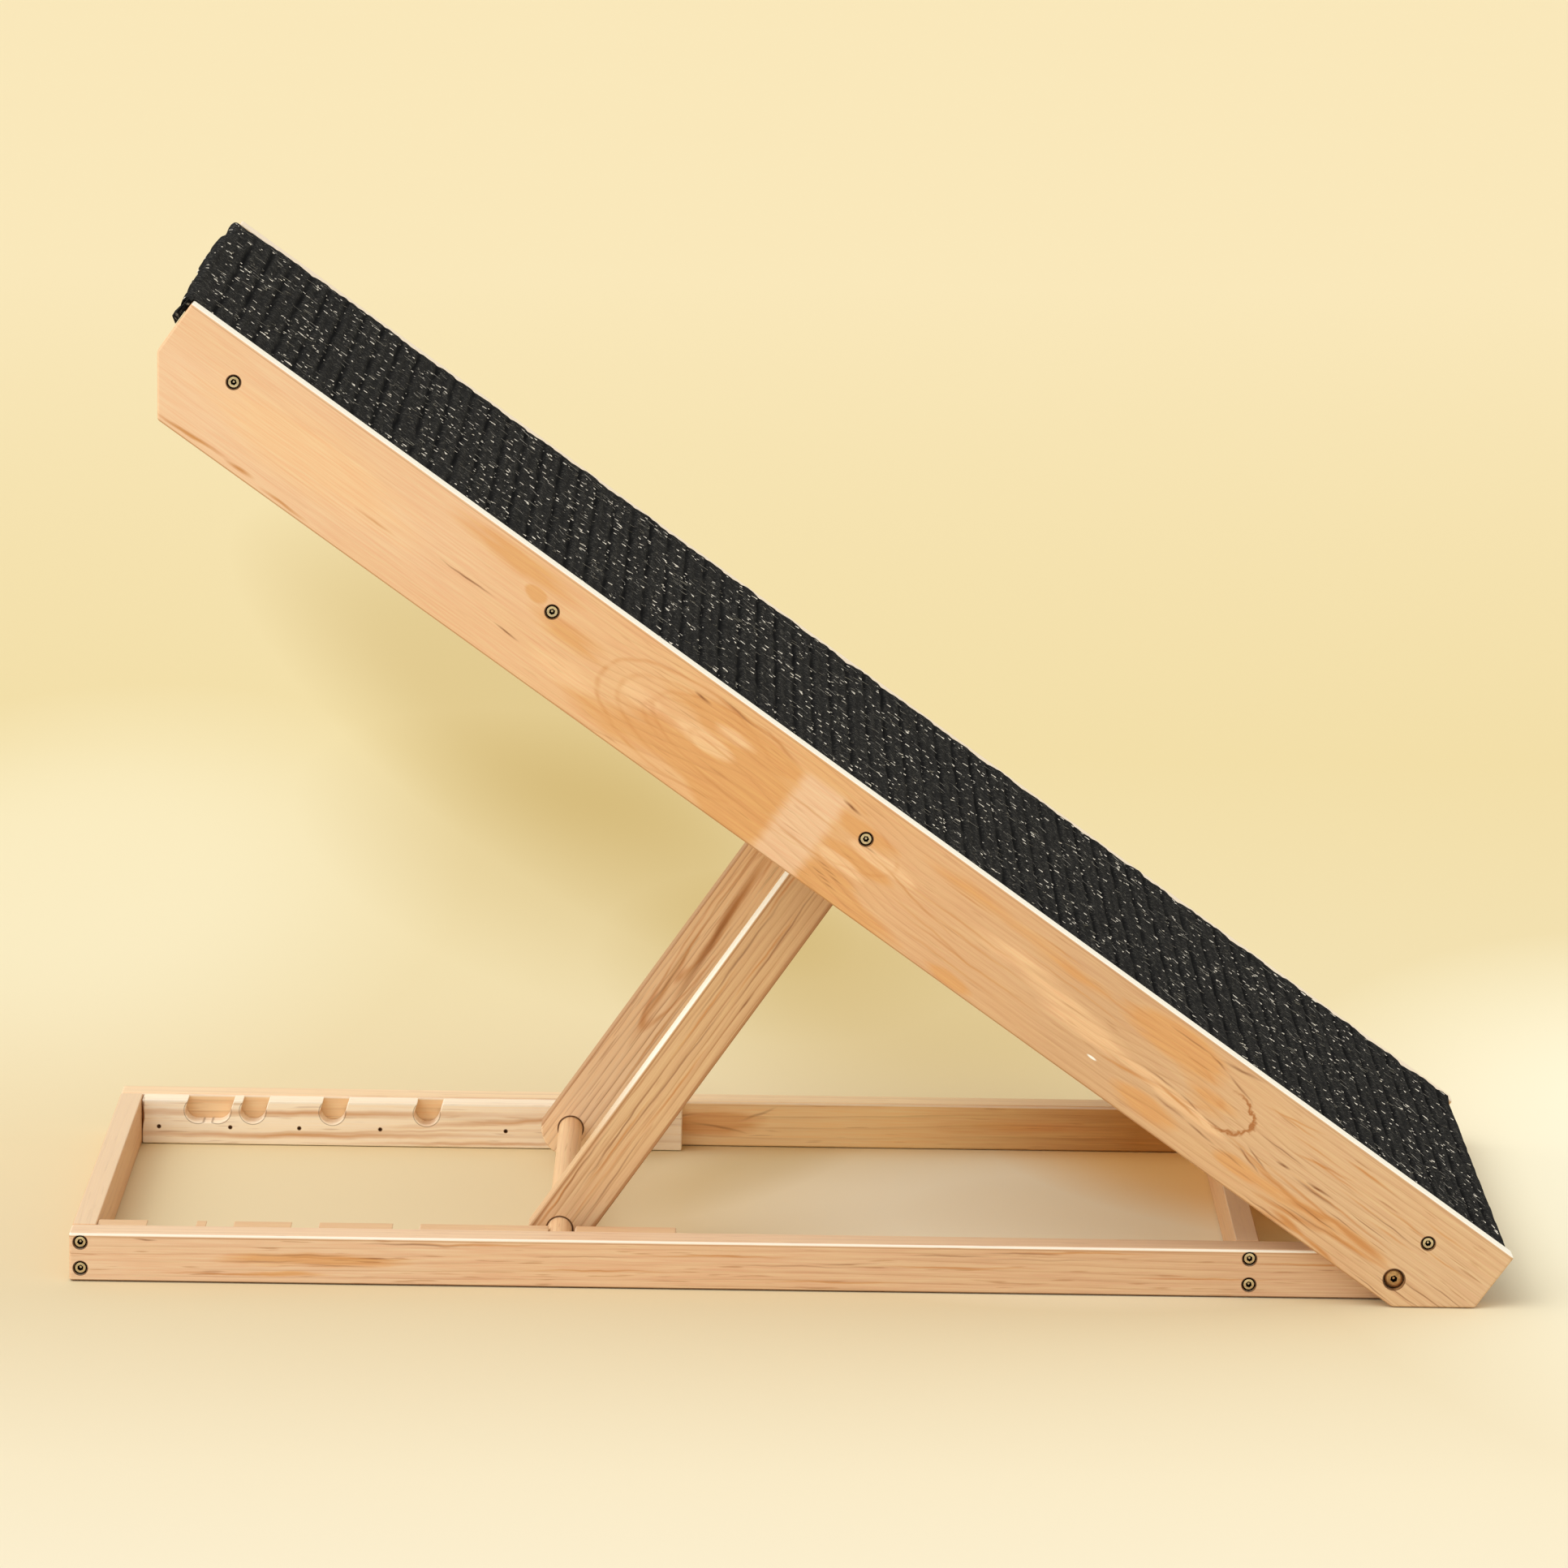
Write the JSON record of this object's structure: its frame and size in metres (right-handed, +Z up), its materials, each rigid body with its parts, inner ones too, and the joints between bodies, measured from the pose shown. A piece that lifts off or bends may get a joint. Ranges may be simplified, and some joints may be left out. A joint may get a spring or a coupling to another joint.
{
  "type": "pet ramp",
  "caption": "Adjustable pet ramp: a carpeted deck between wooden side rails, hinged to a notched base frame and held up by a swinging prop.",
  "frame": {"origin": "on the floor, at the bottom centre of the whole ramp as it stands set up at its steepest notch", "axes": "+X towards the low end of the ramp, +Y to the right as seen walking up it, +Z up"},
  "size_m": [0.892, 0.4, 0.6142],
  "materials": {
    "pine": "clear satin finish over pale softwood with warm grain",
    "plywood": "unfinished thin plywood",
    "carpet": "charcoal ribbed needle-felt carpet with pale flecks",
    "steel": "dull zinc plating, darkened in the recesses"
  },
  "bodies": {
    "base": {"base_rail_left": "pine", "base_rail_right": "pine", "base_end_bar": "pine", "base_cross_bar": "pine", "notch_strip_left": "pine", "notch_strip_right": "pine", "base_screw_left_1": "steel", "base_screw_left_2": "steel", "base_screw_left_3": "steel", "base_screw_left_4": "steel", "base_screw_right_1": "steel", "base_screw_right_2": "steel", "base_screw_right_3": "steel", "base_screw_right_4": "steel", "brad_left_1": "steel", "brad_left_2": "steel", "brad_left_3": "steel", "brad_left_4": "steel", "brad_left_5": "steel", "brad_right_1": "steel", "brad_right_2": "steel", "brad_right_3": "steel", "brad_right_4": "steel", "brad_right_5": "steel", "hinge_insert_left": "steel", "hinge_insert_right": "steel"},
    "deck": {"side_rail_left": "pine", "side_rail_right": "pine", "deck_board": "plywood", "carpet": "carpet", "batten_top": "pine", "batten_middle": "pine", "batten_toe": "pine", "rail_screw_left_1": "steel", "rail_screw_left_2": "steel", "rail_screw_left_3": "steel", "rail_screw_left_4": "steel", "rail_screw_right_1": "steel", "rail_screw_right_2": "steel", "rail_screw_right_3": "steel", "rail_screw_right_4": "steel", "hinge_bolt_left": "steel", "hinge_bolt_right": "steel", "hinge_washer_left": "steel", "hinge_washer_right": "steel"},
    "prop": {"prop_leg_left": "pine", "prop_leg_right": "pine", "prop_axle": "pine", "prop_dowel": "pine"}
  },
  "joints": [
    {"name": "deck_tilt", "type": "hinge", "parent": "base", "child": "deck", "pos_m": [0.37257, 0, 0.01773], "axis": [0, 1, 0], "range_deg": [0, 54]},
    {"name": "prop_swing", "type": "hinge", "parent": "deck", "child": "prop", "pos_m": [0.04172, 0, 0.29094], "axis": [0, 1, 0], "range_deg": [0, 86.5]}
  ]
}
